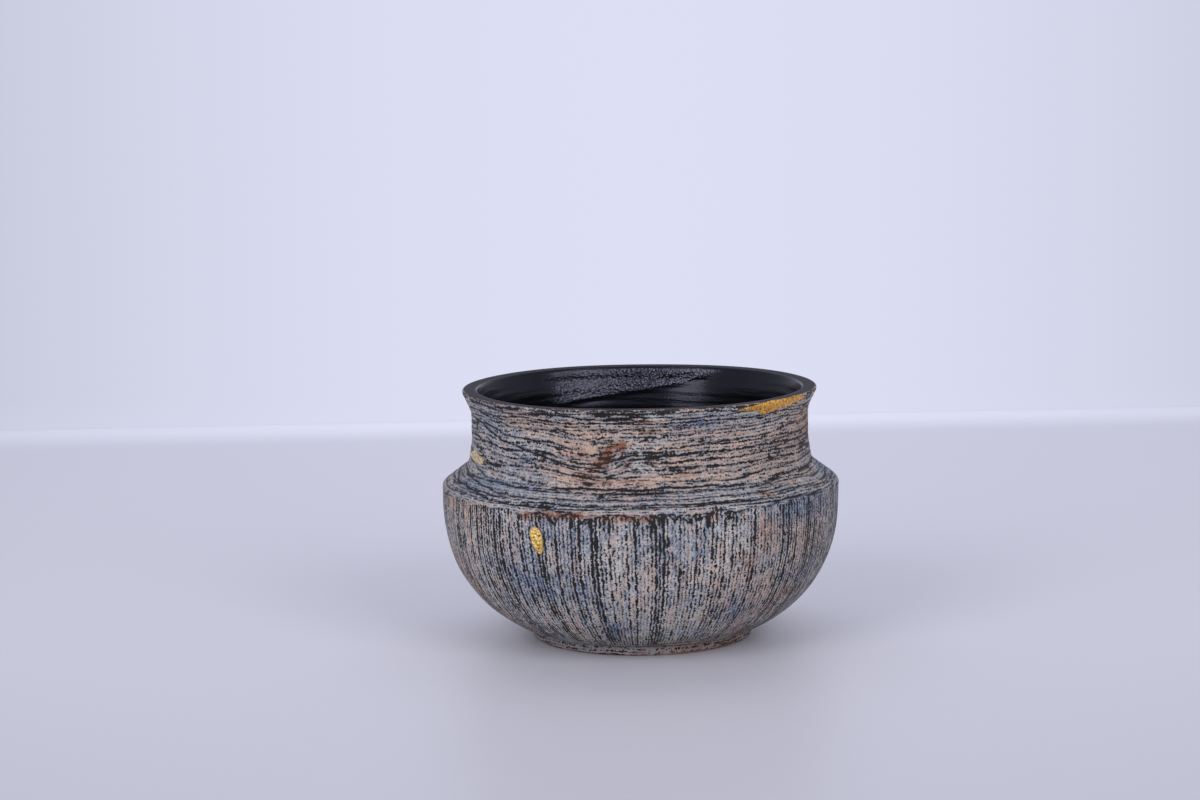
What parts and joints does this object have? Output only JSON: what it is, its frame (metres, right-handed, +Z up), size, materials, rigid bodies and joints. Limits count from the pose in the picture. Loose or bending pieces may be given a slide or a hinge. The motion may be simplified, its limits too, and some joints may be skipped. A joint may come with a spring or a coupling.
{
  "type": "tea waste bowl",
  "caption": "Round stoneware rinse-water bowl with an upright neck, flared lip, sloping shoulder, combed grooves and gold-filled chips, standing on a low foot ring.",
  "frame": {"origin": "middle of the underside, in the plane that the foot ring stands on", "axes": "+Z up along the axis the bowl was turned on; -Y is the front, with the belly repair left of it and the rim repair right of it"},
  "size_m": [0.145, 0.145, 0.0916],
  "materials": {
    "stoneware": "matte",
    "gold_lacquer": "satin"
  },
  "bodies": {
    "root": {"bowl": "stoneware", "gold_fill_rim": "gold_lacquer", "gold_fill_belly": "gold_lacquer", "gold_fill_neck": "gold_lacquer"}
  },
  "joints": []
}
